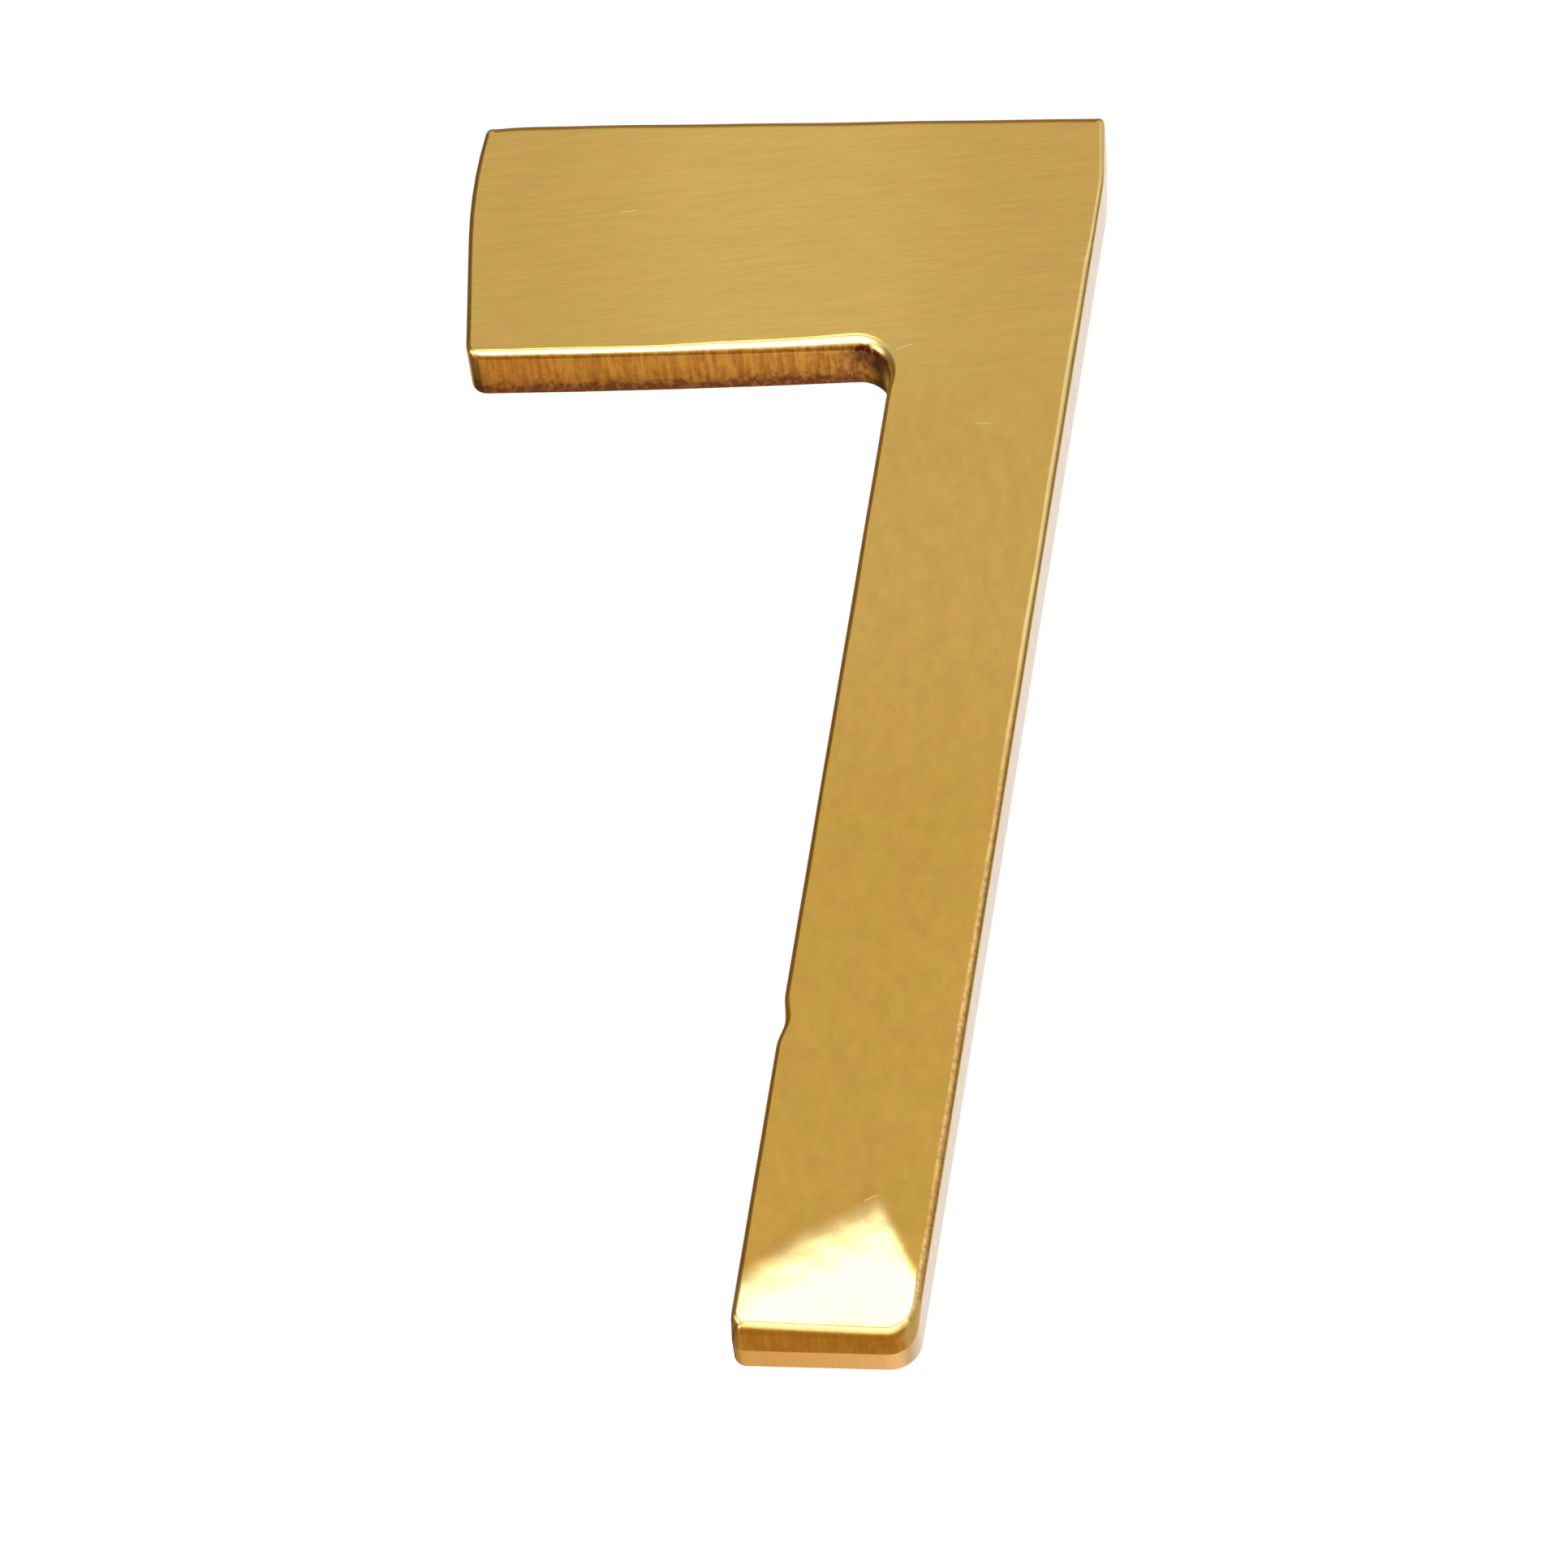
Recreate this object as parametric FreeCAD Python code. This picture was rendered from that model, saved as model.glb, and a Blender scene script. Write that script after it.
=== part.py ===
import FreeCAD, Part
import math
import os
from FreeCAD import Vector

# A solid brass door numeral, a seven, cut from thick plate and finished by hand.
# It stands upright, +Z up, with its face towards -Y and its flat back in the plane Y = 0.
# The origin is on the back, midway between the two tapped holes that fix it to a door.
# Sizes are in millimetres and angles in degrees. Heights are taken from the foot.

# The numeral as a whole
HEIGHT = 76.0
WIDTH = 36.75
THICKNESS = 5.0

# The bar across the top: its depth at the tip, and how far its underside climbs to the crook
BAR_DEPTH = 15.05
UNDERSIDE_RISE = 0.5

# The tip, at the bar's free end: plumb at first, then curving in up to the top
TIP_PLUMB = 7.8
TIP_SETBACK = 0.95

# The top edge, which falls away a little just before the tip
SHOULDER_LENGTH = 3.0
SHOULDER_FALL = 0.2

# The stem: the plumb end of the bar above it, its lean, its width measured level, and its sloping foot
END_HEIGHT = 4.0
STEM_LEAN = 8.2
STEM_WIDTH = 10.5
FOOT_FALL = 0.4

# Radii of the corners as seen on the flat face, inside the rolled edge
TIP_TOP_CORNER = 0.3
TIP_LOW_CORNER = 0.55
END_CORNER = 0.2
FOOT_LEFT_CORNER = 0.4
FOOT_RIGHT_CORNER = 1.5

# Radii where the walls bend: inside the crook, and where the bar's end turns into the stem
CROOK_RADIUS = 1.9
END_BEND = 10.0

# The front edge is rolled all round, and worn rounder in the crook, from where it runs out down the stem
EDGE_ROLL = 0.35
CROOK_ROLL = 0.8
ROLL_RUNOUT = 4.0

# The foot is filed back at the front: a bevel up the face and back along the end, softened into the face
FOOT_BEVEL_RISE = 0.4
FOOT_BEVEL_DEPTH = 2.6
FOOT_BEVEL_SOFTENING = 0.6

# A knock in the stem's left front edge, shallower the further back it goes
NICK_HEIGHT = 19.1
NICK_LENGTH = 3.0
NICK_DEPTH = 0.3
NICK_REACH = 3.0

# Two blind holes in the back, drilled for tapping, with a countersunk mouth
FIXING_ABOVE_FOOT = 7.0
FIXING_BELOW_TOP = 9.0
FIXING_DRILL = 3.3
FIXING_DEPTH = 3.2
FIXING_MOUTH = 4.4
DRILL_POINT_ANGLE = 118.0
MOUTH_ANGLE = 90.0

# How far cutting tools reach past the metal, and how near two points are to count as one
TOOL_OVERRUN = 2.0
SAME_POINT = 1e-4

lean = math.tan(math.radians(STEM_LEAN))


def stem_middle(height):
    """How far right the middle of the stem is at a height: it crosses the fixings' plumb line at the lower one."""
    return (height - FIXING_ABOVE_FOOT) * lean


def on_back(x, height):
    return Vector(x, 0, height)


def halfway_on_bend(straight_end, bent_end):
    """The middle of a shallow bend that leaves its straight end along Z, or along X, without a kink."""
    span = bent_end - straight_end
    if abs(span.z) > abs(span.x):
        return straight_end + Vector(span.x / 4, 0, span.z / 2)
    return straight_end + Vector(span.x / 2, 0, span.z / 4)


# Corners of the outline, seen from the front with the tip on the left
end_x = stem_middle(HEIGHT - END_HEIGHT) + STEM_WIDTH / 2
tip_x = end_x - WIDTH
underside = HEIGHT - BAR_DEPTH
crook_height = underside + UNDERSIDE_RISE

end_top = on_back(end_x, HEIGHT)
end_low = on_back(end_x, HEIGHT - END_HEIGHT)
foot_right = on_back(stem_middle(0) + STEM_WIDTH / 2, 0)
foot_left = on_back(stem_middle(FOOT_FALL) - STEM_WIDTH / 2, FOOT_FALL)
crook = on_back(stem_middle(crook_height) - STEM_WIDTH / 2, crook_height)
runout_height = crook_height - CROOK_RADIUS - ROLL_RUNOUT
runout = on_back(stem_middle(runout_height) - STEM_WIDTH / 2, runout_height)
tip_low = on_back(tip_x, underside)
tip_bend = on_back(tip_x, underside + TIP_PLUMB)
tip_top = on_back(tip_x + TIP_SETBACK, HEIGHT - SHOULDER_FALL)
shoulder = on_back(tip_top.x + SHOULDER_LENGTH, HEIGHT)


def plate():
    """The sawn plate: the seven's outline at full thickness, with its corners rounded."""
    straight_runs = [(shoulder, end_top), (end_top, end_low), (end_low, foot_right), (foot_right, foot_left),
                     (foot_left, runout), (runout, crook), (tip_low, tip_bend)]
    bends = [(tip_low, crook), (tip_bend, tip_top), (shoulder, tip_top)]
    edges = [Part.LineSegment(a, b).toShape() for a, b in straight_runs]
    edges += [Part.Arc(a, halfway_on_bend(a, b), b).toShape() for a, b in bends]
    outline = Part.Wire(Part.__sortEdges__(edges))
    solid = Part.Face(outline).extrude(Vector(0, -THICKNESS, 0))
    corners = [(tip_top, TIP_TOP_CORNER + EDGE_ROLL), (tip_low, TIP_LOW_CORNER + EDGE_ROLL),
               (end_top, END_CORNER + EDGE_ROLL), (foot_left, FOOT_LEFT_CORNER + EDGE_ROLL),
               (foot_right, FOOT_RIGHT_CORNER + EDGE_ROLL), (crook, CROOK_RADIUS), (end_low, END_BEND)]
    for corner, radius in corners:
        solid = solid.makeFillet(radius, [edge_through(solid, corner)])
    return solid


def edge_through(solid, corner):
    """The edge that runs through the plate at a corner of the outline."""
    middle = corner + Vector(0, -THICKNESS / 2, 0)
    return min(solid.Edges, key=lambda edge: (edge.CenterOfMass - middle).Length)


def foot_bevel():
    """The metal filed off the front of the foot, drawn across the foot and drawn out along its slope."""
    filed = Vector(0, -FOOT_BEVEL_DEPTH, FOOT_BEVEL_RISE)
    turn = filed.getAngle(Vector(0, 0, 1))
    tangent = FOOT_BEVEL_SOFTENING * math.tan(turn / 2)
    low = Vector(0, FOOT_BEVEL_DEPTH - THICKNESS, 0)
    arris = low + filed
    bevel_end = arris - filed.normalize() * tangent
    face_end = arris + Vector(0, 0, tangent)
    centre = face_end + Vector(0, FOOT_BEVEL_SOFTENING, 0)
    middle = centre + (arris - centre).normalize() * FOOT_BEVEL_SOFTENING
    front = -THICKNESS - TOOL_OVERRUN
    around = [face_end, Vector(0, front, face_end.z), Vector(0, front, -TOOL_OVERRUN),
              Vector(0, low.y, -TOOL_OVERRUN), low, bevel_end]
    edges = [Part.LineSegment(a, b).toShape() for a, b in zip(around, around[1:])]
    edges.append(Part.Arc(bevel_end, middle, face_end).toShape())
    slope = math.degrees(math.atan2(FOOT_FALL, foot_right.x - foot_left.x))
    tool = Part.Face(Part.Wire(edges)).extrude(Vector(-STEM_WIDTH - 2 * TOOL_OVERRUN, 0, 0))
    tool.translate(Vector(TOOL_OVERRUN, 0, 0))
    tool.rotate(Vector(), Vector(0, 1, 0), slope)
    tool.translate(foot_right)
    return tool


def is_wall(face):
    """Whether a face runs straight through the plate, from back to front."""
    u_low, u_high, v_low, v_high = face.ParameterRange
    return abs(face.normalAt((u_low + u_high) / 2, (v_low + v_high) / 2).y) < SAME_POINT


def front_rim(solid):
    """The front edge in order round the numeral: each edge's number with the points where it starts and ends."""
    walls = [face for face in solid.Faces if is_wall(face)]
    fronts = [face for face in solid.Faces if not is_wall(face) and face.CenterOfMass.y < -SAME_POINT]
    loose = []
    for number, edge in enumerate(solid.Edges, 1):
        owners = [sum(edge.isSame(other) for face in group for other in face.Edges) for group in (walls, fronts)]
        if all(owners):
            loose.append((number, edge.valueAt(edge.FirstParameter), edge.valueAt(edge.LastParameter)))
    rim = [loose.pop(0)]
    while loose:
        reached = rim[-1][2]
        number, start, end = min(loose, key=lambda run: min((run[1] - reached).Length, (run[2] - reached).Length))
        loose.remove((number, start, end))
        forward = (start - reached).Length < (end - reached).Length
        rim.append((number, start, end) if forward else (number, end, start))
    return rim


def rolled(solid):
    """The front edge rolled over, evenly except that it grows along the underside to its largest in the crook."""
    rim = front_rim(solid)
    on_face = crook + Vector(0, -THICKNESS, 0)
    bend = min(rim, key=lambda run: ((run[1] + run[2]) / 2 - on_face).Length)

    def roll_at(point):
        in_crook = min((point - bend[1]).Length, (point - bend[2]).Length) < SAME_POINT
        return CROOK_ROLL if in_crook else EDGE_ROLL

    bench = FreeCAD.newDocument("bench")
    sharp = bench.addObject("Part::Feature", "sharp")
    sharp.Shape = solid
    roll = bench.addObject("Part::Fillet", "roll")
    roll.Base = sharp
    roll.Edges = [(number, roll_at(start), roll_at(end)) for number, start, end in rim]
    bench.recompute()
    shape = roll.Shape.copy()
    FreeCAD.closeDocument(bench.Name)
    return shape


def nick():
    """A round-nosed tool laid along the stem's edge, tipped so that it only bites at the front."""
    radius = ((NICK_LENGTH / 2) ** 2 + NICK_DEPTH ** 2) / (2 * NICK_DEPTH)
    up_stem = Vector(lean, 0, 1).normalize()
    outward = Vector(0, 1, 0).cross(up_stem) * -1
    struck = on_back(stem_middle(NICK_HEIGHT) - STEM_WIDTH / 2, NICK_HEIGHT) + Vector(0, -THICKNESS, 0)
    axis = Vector(0, NICK_REACH, 0) + outward * NICK_DEPTH
    axis.normalize()
    nose = struck + outward * (radius - NICK_DEPTH)
    length = NICK_REACH + 2 * TOOL_OVERRUN
    return Part.makeCylinder(radius, length, nose - axis * TOOL_OVERRUN, axis)


def fixing_hole(height):
    """A blind tapping hole from the back, with a drill point at its end and a countersunk mouth."""
    drill, mouth = FIXING_DRILL / 2, FIXING_MOUTH / 2
    point = drill / math.tan(math.radians(DRILL_POINT_ANGLE / 2))
    sink = (mouth - drill) / math.tan(math.radians(MOUTH_ANGLE / 2))
    inward = Vector(0, -1, 0)
    start = on_back(0, height)
    bore = Part.makeCylinder(drill, FIXING_DEPTH, start, inward)
    tip = Part.makeCone(drill, 0, point, start + inward * FIXING_DEPTH, inward)
    countersink = Part.makeCone(mouth, drill, sink, start, inward)
    return bore.fuse([tip, countersink])


def numeral_seven():
    solid = rolled(plate().cut(foot_bevel()))
    fixings = [FIXING_ABOVE_FOOT, HEIGHT - FIXING_BELOW_TOP]
    for tool in [nick()] + [fixing_hole(height) for height in fixings]:
        solid = solid.cut(tool)
    solid.translate(Vector(0, 0, -sum(fixings) / 2))
    return solid.Solids[0]


os.makedirs("parts", exist_ok=True)
numeral_seven().exportStep("parts/numeral_seven.step")
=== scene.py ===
import math

import bmesh
import bpy
import numpy as np
from mathutils import Matrix, Vector
from mathutils.geometry import delaunay_2d_cdt


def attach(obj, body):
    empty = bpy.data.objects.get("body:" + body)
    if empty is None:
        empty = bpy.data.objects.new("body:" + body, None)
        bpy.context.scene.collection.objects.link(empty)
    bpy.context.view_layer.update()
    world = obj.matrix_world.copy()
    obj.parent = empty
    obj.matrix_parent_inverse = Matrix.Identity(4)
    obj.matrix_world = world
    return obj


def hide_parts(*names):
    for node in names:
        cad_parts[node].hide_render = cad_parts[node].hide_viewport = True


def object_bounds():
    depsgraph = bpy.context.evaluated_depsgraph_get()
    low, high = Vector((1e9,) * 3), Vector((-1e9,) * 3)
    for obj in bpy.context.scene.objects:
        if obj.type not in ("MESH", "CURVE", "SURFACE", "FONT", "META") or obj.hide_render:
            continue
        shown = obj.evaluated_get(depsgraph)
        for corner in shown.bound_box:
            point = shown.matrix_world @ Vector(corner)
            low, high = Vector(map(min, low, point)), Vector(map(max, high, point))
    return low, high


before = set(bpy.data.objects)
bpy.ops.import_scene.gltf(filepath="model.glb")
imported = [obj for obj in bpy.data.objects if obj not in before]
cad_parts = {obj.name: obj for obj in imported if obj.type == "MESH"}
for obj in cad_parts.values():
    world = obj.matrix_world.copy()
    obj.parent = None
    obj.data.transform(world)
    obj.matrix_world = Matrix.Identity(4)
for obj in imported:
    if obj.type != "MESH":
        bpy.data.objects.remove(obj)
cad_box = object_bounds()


# The plate. The real numeral is one slab of solid brass, sawn out and then filed to its outline.
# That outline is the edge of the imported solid's flat back, so the dressed piece keeps the solid's form.
# Shapes are worked out in millimetres: x to the right and z up as the face is read, y in towards the door.
MM = 0.001
THICKNESS = -cad_box[0][1] / MM
SAME_PLACE = 0.001 * MM
POINT_SPACING = 0.3


def back_edges():
    """The closed edges of the solid's flat back: the outline first, then the mouths of the holes."""
    solid = bmesh.new()
    solid.from_mesh(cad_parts["numeral_seven"].data)
    bmesh.ops.remove_doubles(solid, verts=solid.verts, dist=SAME_PLACE)
    solid.verts.index_update()
    next_to = {}
    for edge in solid.edges:
        flat = [all(abs(v.co.y) < SAME_PLACE for v in face.verts) for face in edge.link_faces]
        if sum(flat) == 1:
            a, b = (v.index for v in edge.verts)
            next_to.setdefault(a, []).append(b)
            next_to.setdefault(b, []).append(a)
    place = {v.index: (v.co.x / MM, v.co.z / MM) for v in solid.verts}
    solid.free()
    loops = []
    while next_to:
        here = min(next_to)
        loop = []
        while here in next_to:
            loop.append(place[here])
            ahead = [k for k in next_to.pop(here) if k in next_to]
            here = ahead[0] if ahead else None
        loop = np.array(loop)
        x, z = loop.T
        area = float(np.sum(x * np.roll(z, -1) - z * np.roll(x, -1))) / 2
        loops.append((abs(area), loop if area > 0 else loop[::-1]))
    loops.sort(key=lambda pair: -pair[0])
    return [loop for area, loop in loops]


def evenly_spaced(loop):
    """The loop with points added on its long runs."""
    points = []
    for a, b in zip(loop, np.roll(loop, -1, axis=0)):
        parts = max(1, math.ceil(np.linalg.norm(b - a) / POINT_SPACING))
        points += [a + (b - a) * k / parts for k in range(parts)]
    return np.array(points)


edge_loop, *mouths = back_edges()
outline = evenly_spaced(edge_loop)
count = len(outline)
edge_x, edge_z = outline.T

# Along the outline: how far each point has run, how many degrees it turns there, and which way is out
onward = np.roll(outline, -1, axis=0) - outline
length = np.linalg.norm(onward, axis=1)
run = np.concatenate([[0], np.cumsum(length)[:-1]])
around = float(length.sum())
heading = onward / length[:, None]
came = np.roll(heading, 1, axis=0)
turn = np.degrees(np.arctan2(came[:, 0] * heading[:, 1] - came[:, 1] * heading[:, 0],
                             np.sum(came * heading, axis=1)))
along = np.roll(outline, -1, axis=0) - np.roll(outline, 1, axis=0)
along = along / np.linalg.norm(along, axis=1)[:, None]
out_x, out_z = along[:, 1], -along[:, 0]


# The worked edges of the same slab. The front rim is rolled over with a file and a buff, most along the bar's
# underside and in the crook, where bar and stem meet. The foot is bevelled back from the face, the face rolls
# off above it and along the stem's right edge, and the stem's left edge has a small nick.
EDGE_ROLL = 0.35
TOP_ROLL = 0.7
RIGHT_ROLL = 0.5
UNDERSIDE_ROLL = 0.52
CROOK_ROLL = 0.8
CROOK_REACH = 1.6
CROOK_LEAST_TURN = -2
UNDERSIDE_GROWTH = 23.0
UNDERSIDE_ABOVE = 10
TOP_ABOVE = 30
SQUARELY = 0.9
ROLL_SMOOTHINGS = 8
ROLL_UNEVENNESS = 0.08


def ramp(value, start, end):
    """How far a value has come on its way from start to end, held between 0 and 1."""
    return np.clip((value - start) / (end - start), 0, 1)


def eased(share):
    """The same share with a soft start and a soft end."""
    return share * share * (3 - 2 * share)


def run_past(start):
    """How far each point of the outline lies past a place on it, or before it, the shorter way round."""
    return (run - start + around / 2) % around - around / 2


crook_turns = np.where(turn < CROOK_LEAST_TURN, turn, 0)
past_crook = run_past(float(np.sum(run * crook_turns) / np.sum(crook_turns)))
growth = ramp(past_crook, -CROOK_REACH - UNDERSIDE_GROWTH, -CROOK_REACH)
runout = ramp(past_crook, -0.5 * CROOK_REACH, 1.5 * CROOK_REACH)
roll = EDGE_ROLL + (CROOK_ROLL - EDGE_ROLL) * growth * (1 - eased(runout))
roll = np.where((out_z < -SQUARELY) & (edge_z > UNDERSIDE_ABOVE), np.maximum(roll, UNDERSIDE_ROLL), roll)
roll = np.where((out_z > SQUARELY) & (edge_z > TOP_ABOVE), TOP_ROLL, roll)
roll = np.where((out_x > SQUARELY) & (edge_z < TOP_ABOVE), RIGHT_ROLL, roll)
for k in range(ROLL_SMOOTHINGS):
    roll = (np.roll(roll, 1) + 2 * roll + np.roll(roll, -1)) / 4
roll = roll * (1 + ROLL_UNEVENNESS * np.sin(run * 0.55) * np.sin(run * 0.21 + 1))

# The foot's line and the stem's two sides, measured where the outline is straight
FOOT_REACH = 1.5
STEM_RIGHT_SPAN = (5, 50)
STEM_LEFT_SPAN = (25, 40)

low = edge_z.min()
on_foot = (out_z < -0.99) & (edge_z < low + FOOT_REACH)
foot_slope, foot_level = np.polyfit(edge_x[on_foot], edge_z[on_foot], 1)
on_right = (out_x > 0.95) & (edge_z > low + STEM_RIGHT_SPAN[0]) & (edge_z < low + STEM_RIGHT_SPAN[1])
lean, right_at_zero = np.polyfit(edge_z[on_right], edge_x[on_right], 1)
on_left = (out_x < -0.95) & (edge_z > low + STEM_LEFT_SPAN[0]) & (edge_z < low + STEM_LEFT_SPAN[1])
left_at_zero = float(np.mean(edge_x[on_left] - lean * edge_z[on_left]))
stem_middle_at_zero = (right_at_zero + left_at_zero) / 2
half_stem = (right_at_zero - left_at_zero) / 2

# The foot's bevel runs out round the two corners: where it ends past each, and where it is still full
FOOT_BEVEL_DEPTH = 2.6
FOOT_BEVEL_RISE = 0.4
FOOT_BEVEL_SOFTENING = 0.55
FOOT_BEVEL_STRAIGHT = 0.4
BEVEL_ENDS_LEFT = (1.7, 1.1)
BEVEL_ENDS_RIGHT = (3.2, 0.8)

foot_from = run[on_foot][np.argmin(edge_x[on_foot])]
foot_length = float(np.ptp(edge_x[on_foot]))
past_foot = run_past(foot_from + foot_length / 2)
past_left = np.clip(-past_foot - foot_length / 2, 0, None)
past_right = np.clip(past_foot - foot_length / 2, 0, None)
bevelled = eased(np.minimum(ramp(past_left, *BEVEL_ENDS_LEFT), ramp(past_right, *BEVEL_ENDS_RIGHT)))

# The roll-off of the face: the slanting brow where it begins, the strip beside it, and how both fall away
BROW_HEIGHT = 7.47
BROW_RISE = 2.8
BROW_LEFT_FROM = -0.35
BROW_LEFT_DROP = 1.4
BROW_RIGHT_END = 0.48
DOME_SLOPE = 0.095
DOME_BEND = 2.5
STRIP_FROM = 2.4
STRIP_FULL = 7.7
STRIP_SPREAD = 0.58
STRIP_LAST_SPREAD = 0.62
STRIP_FADES = (52, 10)
STRIP_SLOPE = 0.13
STRIP_BEND = 0.4
SLOW_WAVES = 0.004
SHORT_WAVES = 0.0016
UNEVENNESS = 0.001
BROW_UNEVENNESS = 0.004


def above_foot(x, z):
    return z - (foot_slope * x + foot_level)


def right_of_middle(x, z):
    return x - stem_middle_at_zero - lean * z


def below_brow(x, z):
    """How far a place on the face is below the slanting brow where the foot's roll-off begins."""
    across = np.clip(right_of_middle(x, z) / half_stem, -1, BROW_RIGHT_END)
    dropped = BROW_LEFT_DROP * np.minimum(across - BROW_LEFT_FROM, 0)
    return BROW_HEIGHT + BROW_RISE * across + dropped - above_foot(x, z)


def beside_brow(x, z):
    """How far a place is inside the strip along the stem's right edge, which is rolled off to the side."""
    height = above_foot(x, z)
    wide = STRIP_SPREAD * np.clip(height - STRIP_FROM, 0, STRIP_FULL - STRIP_FROM)
    higher = np.clip(height - STRIP_FULL, 0, None)
    wide = wide + STRIP_LAST_SPREAD * (1 - np.exp(-higher * STRIP_SPREAD / STRIP_LAST_SPREAD))
    return np.clip(wide - (half_stem - right_of_middle(x, z)), 0, None)


def bent_away(distance, bend):
    """How far a slope of 1 has fallen at a distance, where it begins with a bend and not with a crease."""
    return distance - bend * (1 - np.exp(-distance / bend))


def face_fall(x, z):
    """How far the hand-finished face lies behind the slab's full thickness: it rolls away near the foot."""
    fall = DOME_SLOPE * bent_away(np.clip(below_brow(x, z), 0, None), DOME_BEND)
    fades = eased(ramp(above_foot(x, z), *STRIP_FADES))
    fall = fall + STRIP_SLOPE * bent_away(beside_brow(x, z), STRIP_BEND) * fades
    waves = SLOW_WAVES * (1 + np.sin(x * 0.71 + 0.6) * np.sin(z * 0.47 + x * 0.13))
    waves = waves + SHORT_WAVES * (1 + np.sin(z * 1.9 + np.sin(x * 0.5)) * np.sin(x * 0.9 + 2))
    uneven = np.sin(2.3 * x + 1.3 * z) * np.sin(1.9 * z - 1.1 * x + np.sin(x))
    uneven = uneven + 0.5 * np.sin(4.1 * x - 2.2 * z + np.sin(1.7 * z)) * np.sin(3.7 * z + 1.6 * x)
    at_brow = np.exp(-((below_brow(x, z) - 1) / 2.5) ** 2)
    return fall + waves + (UNEVENNESS + BROW_UNEVENNESS * at_brow) * (1.5 + uneven)


# The nick in the stem's left edge, and the rows of points from the back round the walls to the face
NICK_HEIGHT = 19.1
NICK_LENGTH = 3.2
NICK_DEPTH = 0.3
NICK_REACH = 3.0
BACK_EDGE_BREAK = 0.12
CREASE_HEIGHT = 0.06
WALL_ROWS = 14
RIM_ROWS = 12
FIRST_RIM_STEP = 0.02
ROW_CROWDING = 1.6


def nicked(x, z, y):
    """A row of points round the outline, pushed in where the stem's left edge has its nick."""
    near = ramp(np.abs(above_foot(x, z) - NICK_HEIGHT), NICK_LENGTH / 2, 0)
    front = ramp(y, NICK_REACH - THICKNESS, -THICKNESS)
    push = NICK_DEPTH * eased(near) * front * (out_x < -SQUARELY)
    return x - out_x * push, z - out_z * push


def foot_bevel(step):
    """How far in and back the foot's bevel runs: straight from its crease, then softened into the face."""
    steep = math.atan2(FOOT_BEVEL_DEPTH, FOOT_BEVEL_RISE)
    kept = FOOT_BEVEL_SOFTENING * math.tan(steep / 2)
    if step < FOOT_BEVEL_STRAIGHT:
        share = step / FOOT_BEVEL_STRAIGHT
        return ((FOOT_BEVEL_RISE - kept * math.cos(steep)) * share,
                FOOT_BEVEL_DEPTH + (kept * math.sin(steep) - FOOT_BEVEL_DEPTH) * share)
    swing = steep * ((1 - step) / (1 - FOOT_BEVEL_STRAIGHT)) ** ROW_CROWDING
    return (FOOT_BEVEL_RISE + kept - FOOT_BEVEL_SOFTENING * math.sin(swing),
            FOOT_BEVEL_SOFTENING * (1 - math.cos(swing)))


def rim_row(step):
    """One row of points round the front rim: step 0 at the top of the wall, step 1 where the face begins."""
    swing = (1 - (1 - step) ** ROW_CROWDING) * math.pi / 2
    rolled_in = roll * (1 - math.cos(swing))
    rolled_back = roll * (1 - math.sin(swing))
    filed_in, filed_back = foot_bevel(step)
    inset = rolled_in + (filed_in - rolled_in) * bevelled
    x = edge_x - out_x * inset
    z = edge_z - out_z * inset
    back = rolled_back * (1 - bevelled) + filed_back * bevelled
    y = face_fall(x, z) * (1 - filed_back / FOOT_BEVEL_DEPTH * bevelled) + back - THICKNESS
    x, z = nicked(x, z, y)
    return np.stack([x, y, z], axis=1)


wall_top = rim_row(0)
back_x = edge_x - out_x * BACK_EDGE_BREAK
back_z = edge_z - out_z * BACK_EDGE_BREAK
rows = [np.stack([back_x, np.zeros(count), back_z], axis=1)]
for k in range(WALL_ROWS):
    y = -BACK_EDGE_BREAK + (wall_top[:, 1] + BACK_EDGE_BREAK) * k / WALL_ROWS
    x, z = nicked(edge_x, edge_z, y)
    rows.append(np.stack([x, y, z], axis=1))
rows.append(wall_top + np.array([0, CREASE_HEIGHT, 0]))
rows += [rim_row(step) for step in [0, FIRST_RIM_STEP] + [k / RIM_ROWS for k in range(1, RIM_ROWS + 1)]]

vertices = [tuple(p) for row in rows for p in row]
faces = []
for k in range(len(rows) - 1):
    for i in range(count):
        j = (i + 1) % count
        faces.append((k * count + i, k * count + j, (k + 1) * count + j, (k + 1) * count + i))


# The face and the back of the slab. The face is brushed by hand and never quite flat, so it is meshed finely
# enough to carry its slow waves and the roll-off near the foot. The back is linished flat to lie on the door.
FACE_SPACING = 0.32
FACE_ROW_SPACING = 0.866 * FACE_SPACING
FACE_MARGIN = 0.6 * FACE_SPACING
MOUTH_POINTS = 48


def inside(points, loop):
    """Which points lie inside the loop."""
    x, z = points[:, 0][:, None], points[:, 1][:, None]
    x0, z0 = loop[:, 0][None], loop[:, 1][None]
    x1, z1 = np.roll(loop[:, 0], -1)[None], np.roll(loop[:, 1], -1)[None]
    crosses = (z0 > z) != (z1 > z)
    rise = np.where(z1 == z0, 1, z1 - z0)
    return np.sum(crosses & (x < x0 + (z - z0) * (x1 - x0) / rise), axis=1) % 2 == 1


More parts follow.
